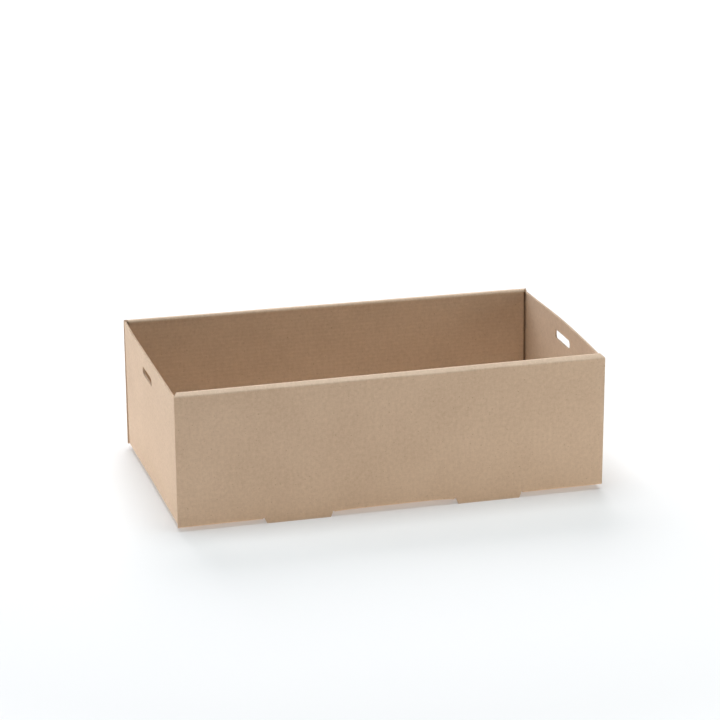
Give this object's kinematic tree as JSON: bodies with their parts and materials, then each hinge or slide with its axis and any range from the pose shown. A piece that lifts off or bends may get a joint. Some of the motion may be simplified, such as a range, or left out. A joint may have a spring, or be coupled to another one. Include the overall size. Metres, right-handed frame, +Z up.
{
  "type": "cardboard tray box",
  "caption": "Open corrugated kraft tray folded from one sheet, with rolled long walls, hand holes in its arched end walls and standing lugs.",
  "frame": {"origin": "middle of the tray, on the surface that the lug tips stand on", "axes": "+X along the tray towards one end wall, +Y towards one of the rolled long walls, +Z up out of its open top"},
  "size_m": [0.2564, 0.153, 0.0825],
  "materials": {
    "kraft_board": "matte"
  },
  "bodies": {
    "root": {"folded_tray": "kraft_board"}
  },
  "joints": []
}
